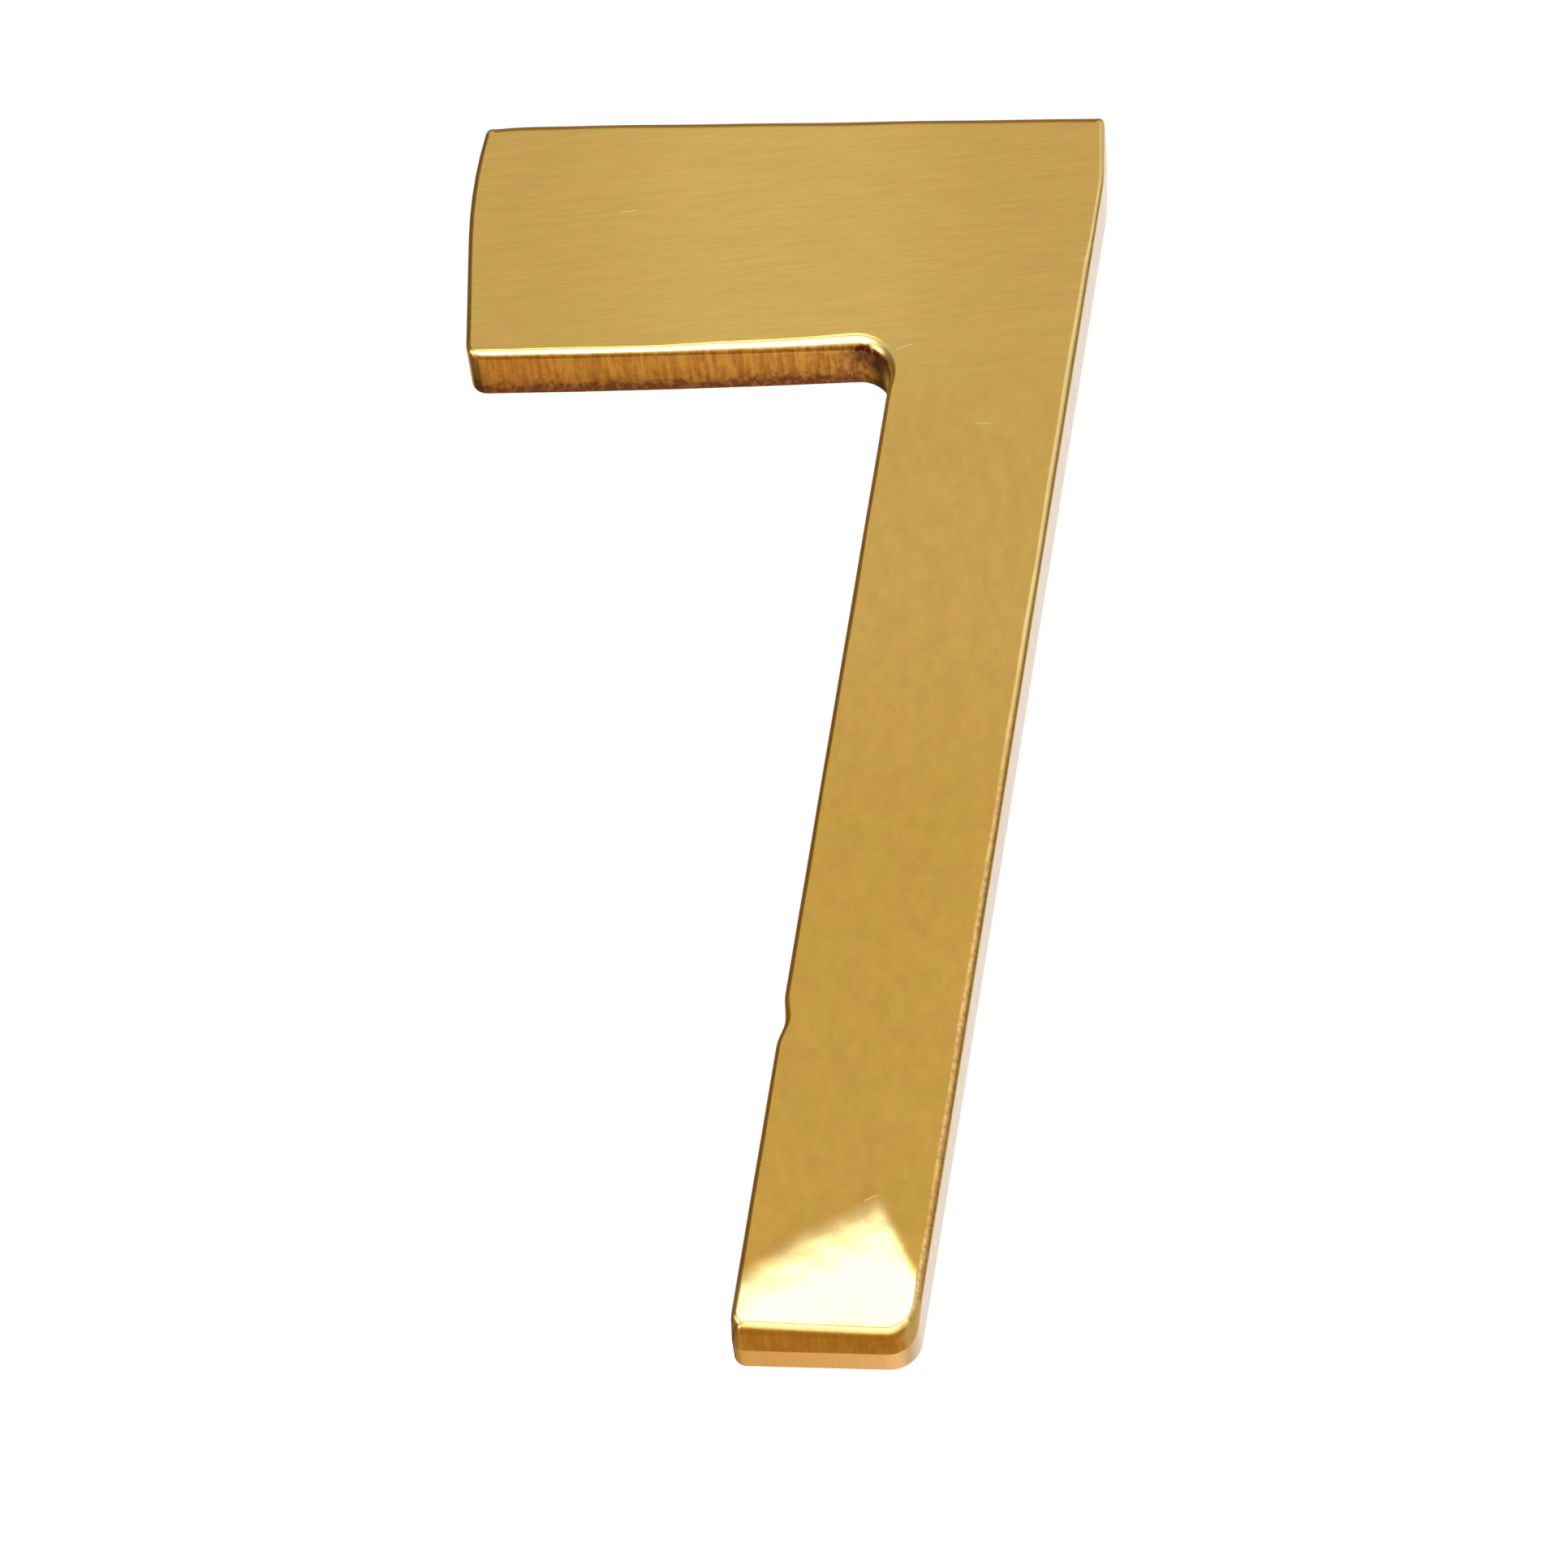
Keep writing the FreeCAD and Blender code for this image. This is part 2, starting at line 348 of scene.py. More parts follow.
def flat_sheet(loops, extra):
    """Triangles that fill the first loop and leave out the others, with the extra points worked in."""
    points = []
    edges = []
    for loop in loops:
        first = len(points)
        points += [Vector(p) for p in loop]
        edges += [(first + i, first + (i + 1) % len(loop)) for i in range(len(loop))]
    points += [Vector(p) for p in extra]
    flat, _, triangles, *_ = delaunay_2d_cdt(points, edges, [], 1, 1e-7)
    flat = np.array([tuple(p) for p in flat])
    middles = np.array([flat[list(t)].mean(axis=0) for t in triangles])
    keep = inside(middles, loops[0])
    for loop in loops[1:]:
        keep &= ~inside(middles, loop)
    return flat, [t for t, kept in zip(triangles, keep) if kept]


def add_sheet(flat, triangles, y):
    first = len(vertices)
    vertices.extend((x, d, z) for (x, z), d in zip(flat, y))
    faces.extend(tuple(first + i for i in t) for t in triangles)


face_loop = rows[-1][:, [0, 2]]
low_x, low_z = face_loop.min(axis=0)
high_x, high_z = face_loop.max(axis=0)
grid = []
for k, z in enumerate(np.arange(low_z, high_z, FACE_ROW_SPACING)):
    for x in np.arange(low_x + (k % 2) * FACE_SPACING / 2, high_x, FACE_SPACING):
        grid.append((x, z))
grid = np.array(grid)
grid = grid[inside(grid, face_loop)]
gap = np.min(np.linalg.norm(grid[:, None, :] - face_loop[None, ::2, :], axis=2), axis=1)
flat, triangles = flat_sheet([face_loop], grid[gap > FACE_MARGIN])
add_sheet(flat, triangles, face_fall(flat[:, 0], flat[:, 1]) - THICKNESS)

hole_middles = [mouth.mean(axis=0) for mouth in mouths]
mouth_radius = float(np.mean([np.linalg.norm(m - c, axis=1).max() for m, c in zip(mouths, hole_middles)]))
angles = 2 * math.pi * np.arange(MOUTH_POINTS) / MOUTH_POINTS
ring = mouth_radius * np.stack([np.cos(angles), np.sin(angles)], axis=1)
flat, triangles = flat_sheet([rows[0][:, [0, 2]]] + [ring + c for c in hole_middles], [])
add_sheet(flat, triangles, np.zeros(len(flat)))


# The two fixing holes in the back. Each is drilled blind, countersunk at its mouth and tapped M4 for a stud
# that is set in the door, so nothing shows on the face. Both come from one tree of nodes with named sizes.
DRILLED_RADIUS = 1.65
DRILL_POINT_ANGLE = 118
HOLE_SIZES = {
    "Drilled Radius": DRILLED_RADIUS * MM,
    "Thread Radius": 2.0 * MM,
    "Thread Pitch": 0.7 * MM,
    "Mouth Radius": mouth_radius * MM,
    "Drilled Depth": 3.2 * MM,
    "Point Depth": DRILLED_RADIUS / math.tan(math.radians(DRILL_POINT_ANGLE / 2)) * MM,
}
ROWS_PER_PITCH = 8
JOINED_WITHIN = 0.002 * MM


def node(tree, kind, links=(), **settings):
    """A node of that kind, with its settings made and its inputs linked or set."""
    made = tree.nodes.new(kind)
    for name, value in settings.items():
        setattr(made, name, value)
    for socket, value in dict(links).items():
        if isinstance(value, bpy.types.NodeSocket):
            tree.links.new(value, made.inputs[socket])
        else:
            made.inputs[socket].default_value = value
    return made


def worked_out(tree, operation, *values, clamp=False):
    """What a math node puts out for those values."""
    made = node(tree, "ShaderNodeMath", dict(enumerate(values)), operation=operation, use_clamp=clamp)
    return made.outputs[0]


def tapped_hole_tree(material):
    """A node tree that puts one countersunk, tapped blind hole at each point, going in along -Y."""
    tree = bpy.data.node_groups.new("tapped_hole", "GeometryNodeTree")
    tree.interface.new_socket("Hole Middles", in_out="INPUT", socket_type="NodeSocketGeometry")
    for name in HOLE_SIZES:
        tree.interface.new_socket(name, in_out="INPUT", socket_type="NodeSocketFloat")
    tree.interface.new_socket("Holes", in_out="OUTPUT", socket_type="NodeSocketGeometry")
    size = node(tree, "NodeGroupInput").outputs

    # A sheet one unit each way: its width goes once round the hole, its height goes down to the drill's point
    depth_rows = math.ceil((HOLE_SIZES["Drilled Depth"] + HOLE_SIZES["Point Depth"])
                           / HOLE_SIZES["Thread Pitch"] * ROWS_PER_PITCH)
    sheet = node(tree, "GeometryNodeMeshGrid", {"Size X": 1, "Size Y": 1, "Vertices X": MOUTH_POINTS + 1,
                                                "Vertices Y": depth_rows + 1})
    position = node(tree, "GeometryNodeInputPosition").outputs[0]
    part = node(tree, "ShaderNodeSeparateXYZ", {0: position}).outputs
    turns = worked_out(tree, "ADD", part[0], 0.5)
    share = worked_out(tree, "ADD", part[1], 0.5)
    whole_depth = worked_out(tree, "ADD", size["Drilled Depth"], size["Point Depth"])
    depth = worked_out(tree, "MULTIPLY", share, whole_depth)

    # The radius at each depth: the mouth's cone, then the thread, then the cone of the drill's point
    pitches = worked_out(tree, "DIVIDE", depth, size["Thread Pitch"])
    phase = worked_out(tree, "FRACT", worked_out(tree, "ADD", pitches, turns))
    tooth = worked_out(tree, "SUBTRACT", worked_out(tree, "MULTIPLY", phase, 2.0), 1.0)
    tooth = worked_out(tree, "ABSOLUTE", tooth)
    thread_depth = worked_out(tree, "SUBTRACT", size["Thread Radius"], size["Drilled Radius"])
    cut = worked_out(tree, "MULTIPLY", tooth, thread_depth)
    threaded = worked_out(tree, "ADD", size["Drilled Radius"], cut)
    mouth = worked_out(tree, "SUBTRACT", size["Mouth Radius"], depth)
    left = worked_out(tree, "SUBTRACT", whole_depth, depth)
    slope = worked_out(tree, "DIVIDE", size["Drilled Radius"], size["Point Depth"])
    point = worked_out(tree, "MULTIPLY", left, slope)
    radius = worked_out(tree, "MAXIMUM", mouth, worked_out(tree, "MINIMUM", threaded, point))

    angle = worked_out(tree, "MULTIPLY", turns, 2 * math.pi)
    moved = node(tree, "ShaderNodeCombineXYZ", {
        0: worked_out(tree, "MULTIPLY", radius, worked_out(tree, "COSINE", angle)),
        1: worked_out(tree, "MULTIPLY", depth, -1.0),
        2: worked_out(tree, "MULTIPLY", radius, worked_out(tree, "SINE", angle))})
    shaped = node(tree, "GeometryNodeSetPosition", {"Geometry": sheet.outputs["Mesh"],
                                                    "Position": moved.outputs[0]})
    closed = node(tree, "GeometryNodeMergeByDistance", {"Geometry": shaped.outputs[0],
                                                        "Distance": JOINED_WITHIN})
    placed = node(tree, "GeometryNodeInstanceOnPoints", {"Points": size["Hole Middles"],
                                                         "Instance": closed.outputs[0]})
    real = node(tree, "GeometryNodeRealizeInstances", {0: placed.outputs[0]})
    brassed = node(tree, "GeometryNodeSetMaterial", {"Geometry": real.outputs[0], "Material": material})
    node(tree, "NodeGroupOutput", {0: brassed.outputs[0]})
    return tree


brass = bpy.data.materials.new("satin_brass")
middles_mesh = bpy.data.meshes.new("hole_middles")
middles_mesh.from_pydata([(c[0] * MM, 0, c[1] * MM) for c in hole_middles], [], [])
holes = bpy.data.objects.new("hole_middles", middles_mesh)
bpy.context.collection.objects.link(holes)
drilling = holes.modifiers.new("tapped_hole", "NODES")
drilling.node_group = tapped_hole_tree(brass)
for item in drilling.node_group.interface.items_tree:
    if item.in_out == "INPUT" and item.name in HOLE_SIZES:
        drilling[item.identifier] = HOLE_SIZES[item.name]
ready = holes.evaluated_get(bpy.context.evaluated_depsgraph_get())
hole_mesh = bpy.data.meshes.new_from_object(ready)
bpy.data.objects.remove(holes)


# The finished numeral: plate, edges, face, back and holes as one closed skin of lacquered satin brass.
# The face has fine brush marks, the walls keep their file marks across the thickness, and the walls under the
# bar and in the crook carry painted shade. It hangs on the studs in its back.
SLIVER = 0.0005 * MM
CREASED_FROM = 32

seven_mesh = bpy.data.meshes.new("numeral_seven_brass")
skin = bmesh.new()
skin.from_mesh(hole_mesh)
corners = [skin.verts.new((x * MM, y * MM, z * MM)) for x, y, z in vertices]
for face in faces:
    skin.faces.new([corners[i] for i in face])
bmesh.ops.remove_doubles(skin, verts=skin.verts, dist=JOINED_WITHIN)
bmesh.ops.dissolve_degenerate(skin, edges=skin.edges, dist=SLIVER)
bmesh.ops.recalc_face_normals(skin, faces=skin.faces)
for face in skin.faces:
    face.smooth = True
    face.material_index = 0
skin.to_mesh(seven_mesh)
skin.free()
seven_mesh.materials.clear()
seven_mesh.materials.append(brass)
seven_mesh.set_sharp_from_angle(angle=math.radians(CREASED_FROM))
seven = bpy.data.objects.new("numeral_seven_brass", seven_mesh)
bpy.context.collection.objects.link(seven)

# Where each finish, painted shade and painted highlight lies, as shares from 0 to 1 at every point of the skin
spots = np.zeros(len(seven_mesh.vertices) * 3)
normals = np.zeros(len(seven_mesh.vertices) * 3)
seven_mesh.vertices.foreach_get("co", spots)
seven_mesh.vertices.foreach_get("normal", normals)
x, y, z = spots.reshape(-1, 3).T / MM
normal_x, normal_y, normal_z = normals.reshape(-1, 3).T
crook_x, crook_z = outline[np.argmin(np.abs(past_crook))]
from_crook = np.hypot(x - crook_x, z - crook_z)
in_front = y < -1

# Walls run through the thickness, and rims are the rolled edges between them and the face
walls = ramp(np.abs(normal_y), 0.87, 0.42)
off_walls = 1 - walls
rims = ramp(np.abs(normal_y), 0.991, 0.961) * (y < -0.5)
under_rims = rims * ramp(-normal_z, 0, 0.1)
right_rims = rims * ramp(normal_x, 0.1, 0.3)
upper = ramp(z, -8, 6)

# Painted shade under the bar, darkest along the door, and in the crook, then a painted dark reflection on the
# lower right rims
under_bar = ramp(-normal_z, 0.3, 0.7) * (z > UNDERSIDE_ABOVE)
along_door = np.clip(1.8 * np.exp(y / 0.8), 0, 1)
painted_shade = under_bar * (0.55 + 0.6 * along_door) + 0.7 * np.exp(-(from_crook / 2.5) ** 2)
painted_shade = walls * np.clip(painted_shade, 0, 1) + 0.6 * right_rims * (1 - upper) * off_walls
# Deeper painted shade: a dark spot on the wall under the bar by the crook, and a dark line along the door
# under the bar
deep_shade = walls * np.exp(-((x - crook_x + 0.7) / 1.0) ** 2 - ((y + 3.7) / 1.1) ** 2)
deep_shade = 2.2 * deep_shade * (from_crook < 5) * ramp(-normal_z, 0, 0.35)
deep_shade = np.clip(deep_shade + 1.4 * walls * under_bar * along_door, 0, 1)

# The foot below its brow and the worn rims have a polish, paler there as a painted highlight, and a brown band
# at the brow is a painted dark reflection
below = below_brow(x, z)
beside = ramp(beside_brow(x, z), 0, 0.5)
polish_and_highlight = np.maximum(ramp(below, -0.1, 1.2) * (1 - beside), under_rims)
polish_and_highlight = np.maximum(polish_and_highlight, right_rims * upper) * off_walls * in_front
brow_reflection = in_front * np.exp(-((below + 0.3) / 0.8) ** 2) * off_walls * (1 - beside)
lacquer = 0.8 - 0.75 * walls + 0.55 * walls * ramp(normal_x, 0.4, 0.8)

finishes_and_painted_light = {"walls": walls, "rims": rims, "painted_shade": painted_shade, "deep_shade": deep_shade, "lacquer": lacquer,
            "polish_and_highlight": polish_and_highlight, "brow_reflection": brow_reflection}
for name, values in finishes_and_painted_light.items():
    seven_mesh.attributes.new(name, "FLOAT", "POINT").data.foreach_set("value", values)

# Colours of the brass: the plain ones in pairs, because each is faintly mottled
LOW_STEM = (0.520, 0.299, 0.027, 1), (0.535, 0.287, 0.029, 1)
HIGH_STEM = (0.545, 0.329, 0.052, 1), (0.560, 0.318, 0.054, 1)
BAR = (0.510, 0.323, 0.056, 1), (0.540, 0.312, 0.058, 1)
MIDDLE_OF_BAR = (0.583, 0.378, 0.075, 1)
# Painted dark reflection along the brow of the foot
BROW_REFLECTION = (0.50, 0.245, 0.02, 1)
# Paler tint of the polish, which paints the highlights of the foot and the worn rims
POLISH_AND_HIGHLIGHT = (0.555, 0.412, 0.16, 1)
# Painted shade under the bar, in the crook and on the lower right rims
SHADE_COLOUR = (0.30, 0.10, 0.012, 1)
# Deeper painted shade in the crook and along the door
DEEP_SHADE_COLOUR = (0.09, 0.012, 0.001, 1)
SCRATCHED = (0.78, 0.66, 0.40, 1)

# Heights and widths, in metres, over which one colour goes over into the next
HIGH_STEM_BEGINS = (-0.008, 0.010)
BAR_BEGINS = (0.018, 0.026)
MIDDLE_BEGINS = (-0.019, -0.007)
MIDDLE_ENDS = (0.010, -0.001)

# Marks in a metre along x, y and z, the slant of the bar's brush marks, and the depth of marks in metres
BAR_BRUSH = (420, 300, 6500)
STEM_BRUSH = (1300, 300, 900)
FILE_MARKS = (3600, 160, 3600)
SPECKS = (2600, 1300, 2600)
MOTTLE = (420, 420, 420)
CLOUD = (90, 90, 90)
BAR_BRUSH_SLANT = 6
MARK_DEPTH = 0.0000016
SCRATCH_DEPTH = 0.000002
NOISE_SPAN = (0.3, 0.7)

# Roughness, as a range where the finish is cloudy
STEM_ROUGHNESS = (0.10, 0.12)
BAR_ROUGHNESS = (0.16, 0.19)
WALL_ROUGHNESS = (0.20, 0.30)
POLISHED_ROUGHNESS = 0.18
RIM_ROUGHNESS = 0.30
LACQUER_ROUGHNESS = 0.14

# Fine scratches on the face: where each starts, how far it goes, and its width, in metres
SCRATCHES = (
    ((-0.0133, -0.005, 0.0331), (0.0009, 0, 0.0001), 0.00007),
    ((0.0027, -0.005, 0.0241), (0.0009, 0, 0.0003), 0.00008),
    ((0.0073, -0.005, 0.0193), (0.0008, 0, 0.0000), 0.00008),
    ((0.0014, -0.005, -0.0287), (0.0007, 0, 0.0003), 0.00007),
)


def tool_marks_group():
    """Streaks left by a brush or file: stretched noise, with how many marks there are in a metre each way."""
    group = bpy.data.node_groups.new("tool_marks", "ShaderNodeTree")
    group.interface.new_socket("Place", in_out="INPUT", socket_type="NodeSocketVector")
    group.interface.new_socket("Marks per Metre", in_out="INPUT", socket_type="NodeSocketVector")
    group.interface.new_socket("Marks", in_out="OUTPUT", socket_type="NodeSocketFloat")
    given = node(group, "NodeGroupInput").outputs
    scaled = node(group, "ShaderNodeVectorMath", {0: given[0], 1: given[1]}, operation="MULTIPLY").outputs[0]
    noise = node(group, "ShaderNodeTexNoise", {"Vector": scaled, "Scale": 1.0, "Detail": 3.0,
                                               "Roughness": 0.6})
    node(group, "NodeGroupOutput", {0: noise.outputs[0]})
    return group


def scratch_group():
    """One straight scratch between two places, as a mask that fades over its width."""
    group = bpy.data.node_groups.new("scratch", "ShaderNodeTree")
    for name in ("Place", "From", "Reach"):
        group.interface.new_socket(name, in_out="INPUT", socket_type="NodeSocketVector")
    group.interface.new_socket("Width", in_out="INPUT", socket_type="NodeSocketFloat")
    group.interface.new_socket("Mask", in_out="OUTPUT", socket_type="NodeSocketFloat")
    place, start, reach, width = node(group, "NodeGroupInput").outputs[:4]

    def vectors(operation, links):
        return node(group, "ShaderNodeVectorMath", links, operation=operation).outputs

    offset = vectors("SUBTRACT", {0: place, 1: start})[0]
    dotted = vectors("DOT_PRODUCT", {0: offset, 1: reach})["Value"]
    squared = vectors("DOT_PRODUCT", {0: reach, 1: reach})["Value"]
    share = worked_out(group, "DIVIDE", dotted, squared, clamp=True)
    nearest = vectors("SCALE", {0: reach, "Scale": share})[0]
    away = vectors("DISTANCE", {0: offset, 1: nearest})["Value"]
    faded = node(group, "ShaderNodeMapRange", {"Value": away, "From Max": width, "To Min": 1.0,
                                               "To Max": 0.0}, interpolation_type="SMOOTHSTEP")
    node(group, "NodeGroupOutput", {0: faded.outputs[0]})
    return group


brass.use_nodes = True
tree = brass.node_tree
shader = tree.nodes["Principled BSDF"]
place = node(tree, "ShaderNodeTexCoord").outputs["Object"]
part = node(tree, "ShaderNodeSeparateXYZ", {0: place}).outputs
tool_marks = tool_marks_group()
scratch = scratch_group()


def marks(per_metre, where=place):
    return node(tree, "ShaderNodeGroup", {"Place": where, "Marks per Metre": per_metre},
                node_tree=tool_marks).outputs[0]


def attribute(name):
    return node(tree, "ShaderNodeAttribute", attribute_name=name).outputs["Fac"]


def mixed(share, a, b):
    return node(tree, "ShaderNodeMix", {0: share, 2: a, 3: b}, data_type="FLOAT").outputs[0]


def tinted(share, a, b, how="MIX"):
    return node(tree, "ShaderNodeMix", {0: share, 6: a, 7: b}, data_type="RGBA", blend_type=how).outputs[2]


def ranged(value, low, high, to_low=0.0, to_high=1.0):
    links = {"Value": value, "From Min": low, "From Max": high, "To Min": to_low, "To Max": to_high}
    return node(tree, "ShaderNodeMapRange", links, interpolation_type="SMOOTHSTEP").outputs[0]


walls_mask = attribute("walls")
polish_and_highlight_mask = attribute("polish_and_highlight")
on_bar = ranged(part["Z"], *BAR_BEGINS)
slant = (0, math.radians(BAR_BRUSH_SLANT), 0)
bar_brush = marks(BAR_BRUSH, node(tree, "ShaderNodeMapping", {"Vector": place, "Rotation": slant}).outputs[0])
stem_brush = marks(STEM_BRUSH)
file_marks = marks(FILE_MARKS)
specks = marks(SPECKS)
mottle = marks(MOTTLE)
cloud = marks(CLOUD)

# The plain colours of stem and bar, then the painted dark reflection at the brow and the paler polish tint
# that paints the highlights at the foot
mottled = ranged(mottle, 0.38, 0.62)
colour = tinted(ranged(part["Z"], *HIGH_STEM_BEGINS), tinted(mottled, *LOW_STEM), tinted(mottled, *HIGH_STEM))
colour = tinted(on_bar, colour, tinted(mottled, *BAR))
mid_bar = worked_out(tree, "MULTIPLY", ranged(part["X"], *MIDDLE_BEGINS), ranged(part["X"], *MIDDLE_ENDS))
colour = tinted(mixed(mid_bar, 0.0, mixed(on_bar, 0.0, 0.9)), colour, MIDDLE_OF_BAR)
brow_reflection_share = mixed(attribute("brow_reflection"), 0.0, ranged(mottle, 0.4, 0.6, 0.2, 0.7))
colour = tinted(brow_reflection_share, colour, BROW_REFLECTION)
colour = tinted(polish_and_highlight_mask, colour, POLISH_AND_HIGHLIGHT)

# Streaks of the brush and the file over all of it, then painted shade, deeper painted shade and scratches
worked = mixed(walls_mask, mixed(on_bar, stem_brush, bar_brush), file_marks)
streak = ranged(worked, *NOISE_SPAN, 0.945, 1.05)
grey = node(tree, "ShaderNodeCombineColor", {0: streak, 1: streak, 2: streak}).outputs[0]
colour = tinted(1.0, colour, grey, "MULTIPLY")
lines = ranged(mixed(0.7, specks, file_marks), 0.38, 0.60, 1.25, 0.30)
colour = tinted(worked_out(tree, "MULTIPLY", attribute("painted_shade"), lines, clamp=True), colour, SHADE_COLOUR)
grains = ranged(specks, 0.3, 0.6, 1.8, 0.7)
colour = tinted(worked_out(tree, "MULTIPLY", attribute("deep_shade"), grains, clamp=True), colour, DEEP_SHADE_COLOUR)
masks = [node(tree, "ShaderNodeGroup", {"Place": place, "From": start, "Reach": reach, "Width": width},
              node_tree=scratch).outputs[0] for start, reach, width in SCRATCHES]
scratches = masks[0]
for mask in masks[1:]:
    scratches = worked_out(tree, "MAXIMUM", scratches, mask)
colour = tinted(mixed(scratches, 0.0, 0.4), colour, SCRATCHED)
tree.links.new(colour, shader.inputs["Base Color"])

rough = mixed(on_bar, ranged(cloud, *NOISE_SPAN, *STEM_ROUGHNESS), ranged(cloud, *NOISE_SPAN, *BAR_ROUGHNESS))
rough = mixed(polish_and_highlight_mask, rough, POLISHED_ROUGHNESS)
rough = mixed(attribute("rims"), rough, RIM_ROUGHNESS)
rough = mixed(walls_mask, rough, ranged(file_marks, *NOISE_SPAN, *WALL_ROUGHNESS))
tree.links.new(rough, shader.inputs["Roughness"])
shader.inputs["Metallic"].default_value = 1.0
tree.links.new(attribute("lacquer"), shader.inputs["Coat Weight"])
shader.inputs["Coat Roughness"].default_value = LACQUER_ROUGHNESS

satin = worked_out(tree, "MULTIPLY", stem_brush, 3.0)
waved = mixed(walls_mask, mixed(on_bar, satin, bar_brush), file_marks)
bumps = node(tree, "ShaderNodeBump", {"Height": waved, "Strength": 1.0, "Distance": MARK_DEPTH})
cuts = node(tree, "ShaderNodeBump", {"Height": scratches, "Strength": 1.0, "Distance": SCRATCH_DEPTH,
                                     "Normal": bumps.outputs[0]}, invert=True)
tree.links.new(cuts.outputs[0], shader.inputs["Normal"])

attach(seven, "root")
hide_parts("numeral_seven")


# The studio, which isn't part of the object: a pale floor well below the numeral and a white surround.
# Three lamps, one inside the other, are the soft window that the foot mirrors, two stronger ones stand low,
# and a weak one is at the right. The walls and rims mirror brown, warm and pale cards instead of white.
WHITE_LAMP = 4
SURROUND_LIGHT = 0.9
FLOOR_LEVEL = -0.5
FLOOR_REACH = (-9, 9)
BEHIND = 0.15


def towards(azimuth, elevation):
    """A direction out from the numeral: azimuth 0 in front, 90 at its right as read, elevation above level."""
    a, e = math.radians(azimuth), math.radians(elevation)
    return Vector((math.sin(a) * math.cos(e), -math.cos(a) * math.cos(e), math.sin(e)))


def lamp(name, azimuth, elevation, wide, tall, distance, brightness):
    """A soft lamp that faces the numeral and spans those angles as seen from it; brightness 1 is white."""
    data = bpy.data.lights.new(name, "AREA")
    data.shape = "RECTANGLE"
    data.size = 2 * distance * math.tan(math.radians(wide / 2))
    data.size_y = 2 * distance * math.tan(math.radians(tall / 2))
    data.energy = WHITE_LAMP * data.size * data.size_y * brightness
    made = bpy.data.objects.new(name, data)
    made.visible_camera = False
    out = towards(azimuth, elevation)
    made.location = out * distance
    made.rotation_euler = out.to_track_quat("Z", "Y").to_euler()
    bpy.context.collection.objects.link(made)


def spread(name, material, x, y, z):
    """A flat sheet that spans two of the axes, with one number for its place on the third."""
    spans = [x, y, z]
    across, up = [k for k in range(3) if isinstance(spans[k], tuple)]
    corners = []
    for i, j in ((0, 0), (1, 0), (1, 1), (0, 1)):
        corner = list(spans)
        corner[across] = spans[across][i]
        corner[up] = spans[up][j]
        corners.append(corner)
    mesh = bpy.data.meshes.new(name)
    mesh.from_pydata(corners, [], [(0, 1, 2, 3)])
    mesh.materials.append(material)
    made = bpy.data.objects.new(name, mesh)
    bpy.context.collection.objects.link(made)
    return made


def card(name, tone, x, y, z):
    """A card that the brass mirrors, out of the camera's sight."""
    material = bpy.data.materials.new(name)
    material.use_nodes = True
    plain = node(material.node_tree, "ShaderNodeEmission", {"Color": (*tone, 1), "Strength": 1.0})
    end = material.node_tree.nodes["Material Output"]
    material.node_tree.links.new(plain.outputs[0], end.inputs["Surface"])
    made = spread(name, material, x, y, z)
    made.visible_camera = False
    made.visible_diffuse = False
    made.visible_shadow = False


lamp("front_window", azimuth=0.5, elevation=10.0, wide=19, tall=4.2, distance=1.0, brightness=4.2)
lamp("window_frame", azimuth=0.5, elevation=10.8, wide=23, tall=6.2, distance=1.02, brightness=0.9)
lamp("window_wall", azimuth=0.5, elevation=11.7, wide=27, tall=8.4, distance=1.04, brightness=0.5)
lamp("low_softbox", azimuth=1.5, elevation=-34.0, wide=47, tall=40, distance=0.45, brightness=7.5)
lamp("low_left", azimuth=-68.5, elevation=-30, wide=29, tall=26, distance=0.6, brightness=4.0)
lamp("right_window", azimuth=42, elevation=10.5, wide=34, tall=21, distance=1.0, brightness=0.7)

card("left_card", (0.27, 0.18, 0.06), x=-0.4, y=(-0.7, 0.4), z=(-0.06, 0.5))
card("right_card", (0.34, 0.26, 0.10), x=0.4, y=(-0.05, 0.3), z=(0.05, 0.19))
card("low_card", (0.62, 0.39, 0.15), x=(-0.12, 0.12), y=(-0.11, 0.17), z=-0.15)
card("table_card", (1.0, 0.63, 0.20), x=(-0.065, 0.01), y=BEHIND, z=(-0.075, -0.01))
card("corner_card", (0.45, 0.29, 0.11), x=(-0.30, -0.065), y=BEHIND, z=(-0.12, -0.01))
card("back_card", (0.22, 0.13, 0.04), x=(-0.30, 0.01), y=BEHIND, z=(-0.01, 0.055))
card("upper_card", (0.76, 0.49, 0.12), x=(-0.30, 0.01), y=BEHIND, z=(0.055, 0.14))
card("warm_card", (1.20, 0.90, 0.70), x=(-0.08, -0.011), y=BEHIND, z=(-0.14, -0.076))
card("pale_card", (1.60, 1.50, 1.70), x=(-0.011, 0.08), y=BEHIND, z=(-0.14, -0.076))
card("foot_card", (0.95, 0.90, 0.80), x=(-0.03, 0.03), y=(-0.06, -0.012), z=-0.05)
card("top_card", (0.42, 0.28, 0.12), x=(-0.3, 0.3), y=(-0.15, 0.4), z=0.4)

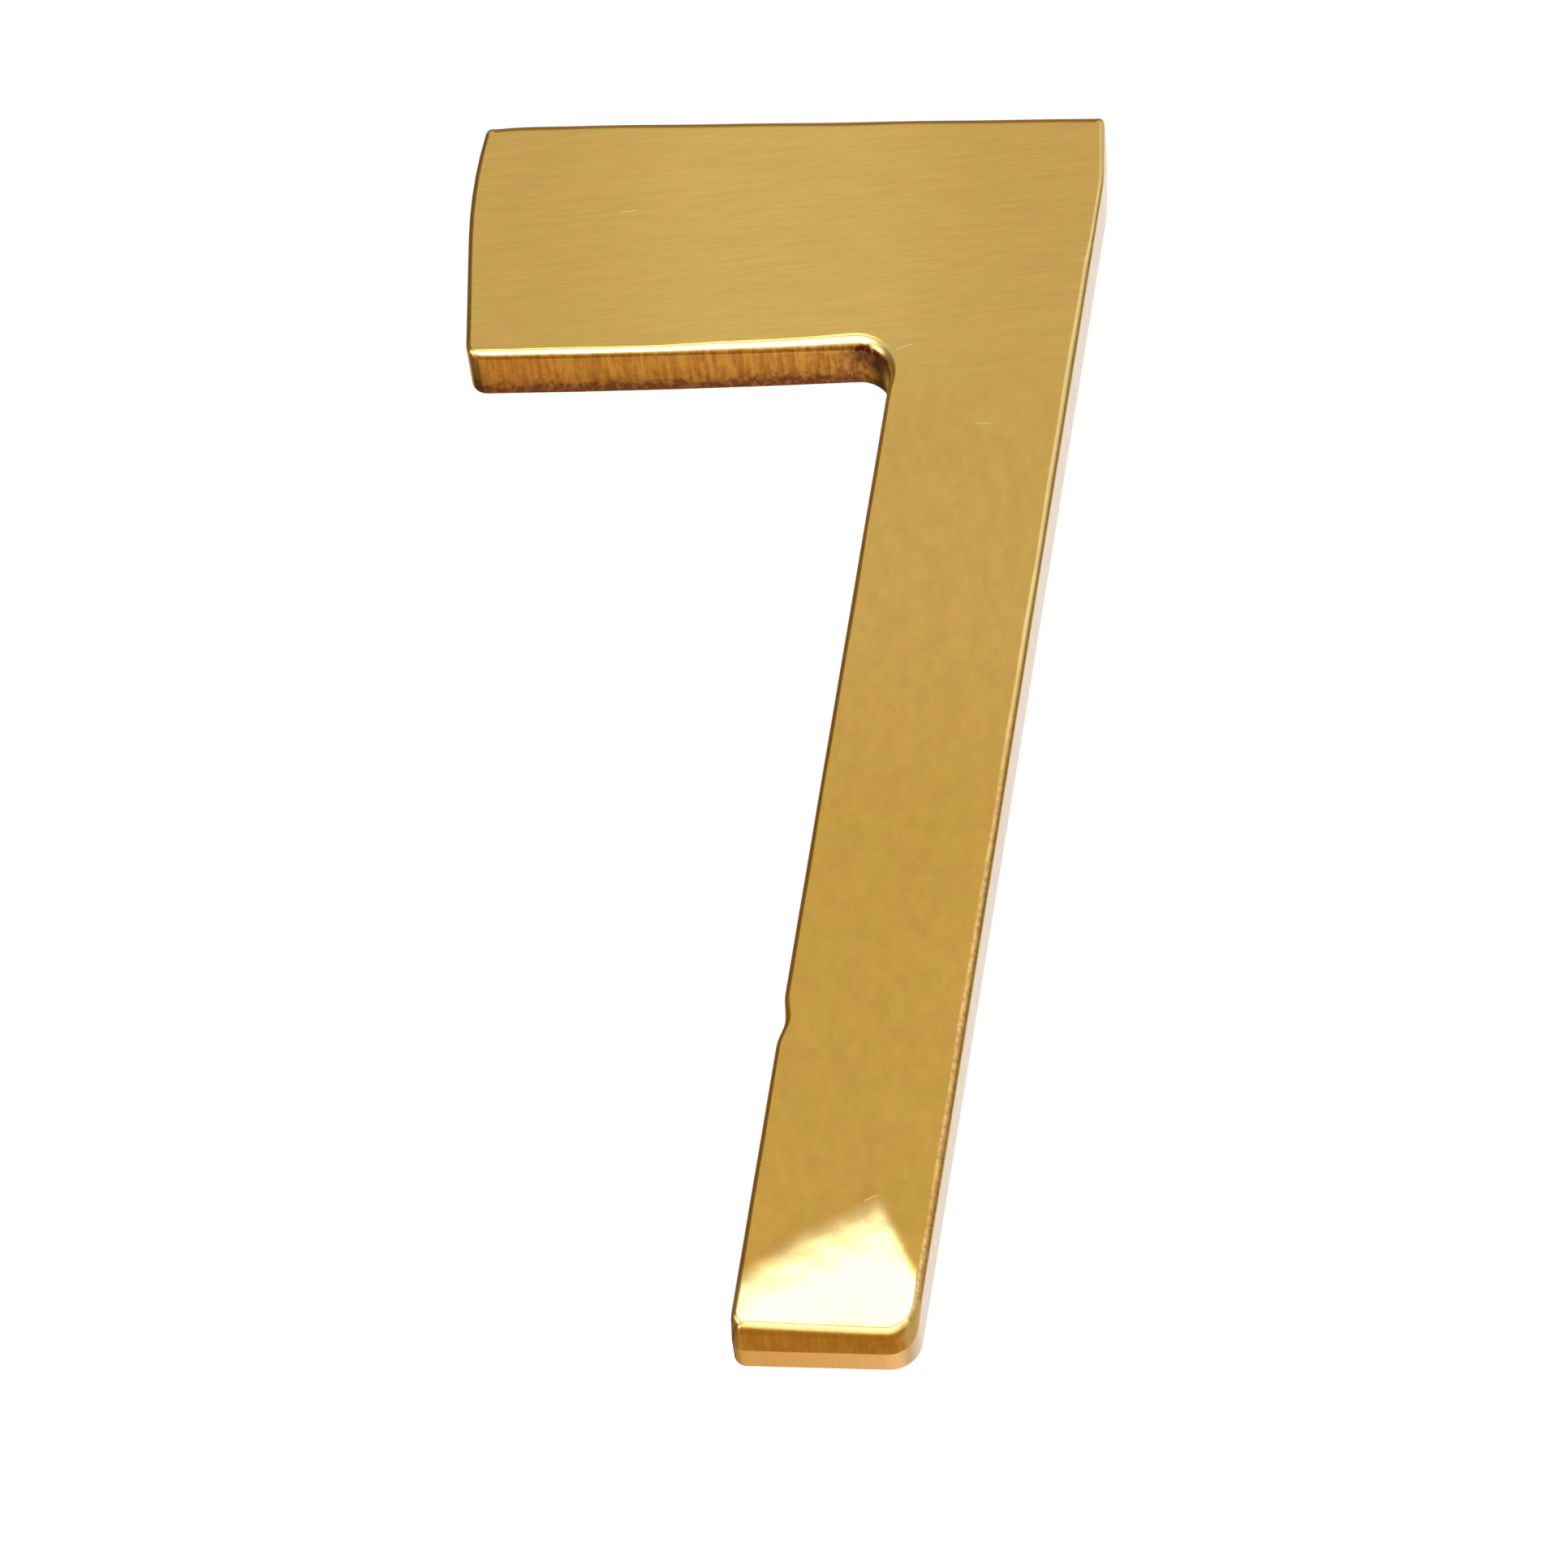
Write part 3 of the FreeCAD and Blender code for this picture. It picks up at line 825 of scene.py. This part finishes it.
floor_paint = bpy.data.materials.new("pale_floor")
floor_paint.use_nodes = True
floor_shader = floor_paint.node_tree.nodes["Principled BSDF"]
floor_shader.inputs["Base Color"].default_value = (0.93, 0.93, 0.92, 1)
floor_shader.inputs["Roughness"].default_value = 0.8
floor = spread("floor", floor_paint, x=FLOOR_REACH, y=FLOOR_REACH, z=FLOOR_LEVEL)

# The surround lights the numeral a little less than white, and looks white to the camera and in the brass
world = bpy.data.worlds.new("white_surround")
world.use_nodes = True
sky = world.node_tree
lit = sky.nodes["Background"]
lit.inputs["Color"].default_value = (1, 1, 1, 1)
lit.inputs["Strength"].default_value = SURROUND_LIGHT
seen = node(sky, "ShaderNodeBackground", {"Color": (1, 1, 1, 1), "Strength": 1.0})
rays = node(sky, "ShaderNodeLightPath").outputs
direct = worked_out(sky, "MAXIMUM", rays["Is Camera Ray"], rays["Is Glossy Ray"])
direct = worked_out(sky, "MAXIMUM", direct, rays["Is Transmission Ray"])
chosen = node(sky, "ShaderNodeMixShader", {0: direct, 1: lit.outputs[0], 2: seen.outputs[0]})
sky.links.new(chosen.outputs[0], sky.nodes["World Output"].inputs["Surface"])
bpy.context.scene.world = world
bpy.context.scene.view_settings.view_transform = "Standard"


# The camera: a long lens a little to the right of the numeral and well below it, as in the photograph.
# It is turned slightly about its line of sight, so that the numeral leans in the picture as it does there.
CAMERA_AZIMUTH = 3.5
CAMERA_ELEVATION = -24.0
CAMERA_DISTANCE = 0.76
CAMERA_TILT = 0.77
CAMERA_LENS = 305.92
CAMERA_SENSOR = 36.0
LOOKED_AT = Vector((-0.00374, 0, -0.00095))

camera_data = bpy.data.cameras.new("camera")
camera_data.lens = CAMERA_LENS
camera_data.sensor_width = CAMERA_SENSOR
camera_data.clip_start = 0.05
camera_data.clip_end = 30.0
camera = bpy.data.objects.new("camera", camera_data)
bpy.context.collection.objects.link(camera)
back = towards(CAMERA_AZIMUTH, CAMERA_ELEVATION)
level = Vector((0, 0, 1)).cross(back).normalized()
upright = back.cross(level)
tilt = math.radians(CAMERA_TILT)
right = level * math.cos(tilt) + upright * math.sin(tilt)
up = upright * math.cos(tilt) - level * math.sin(tilt)
turned = Matrix((right, up, back)).transposed().to_4x4()
camera.matrix_world = Matrix.Translation(LOOKED_AT + back * CAMERA_DISTANCE) @ turned
bpy.context.scene.camera = camera
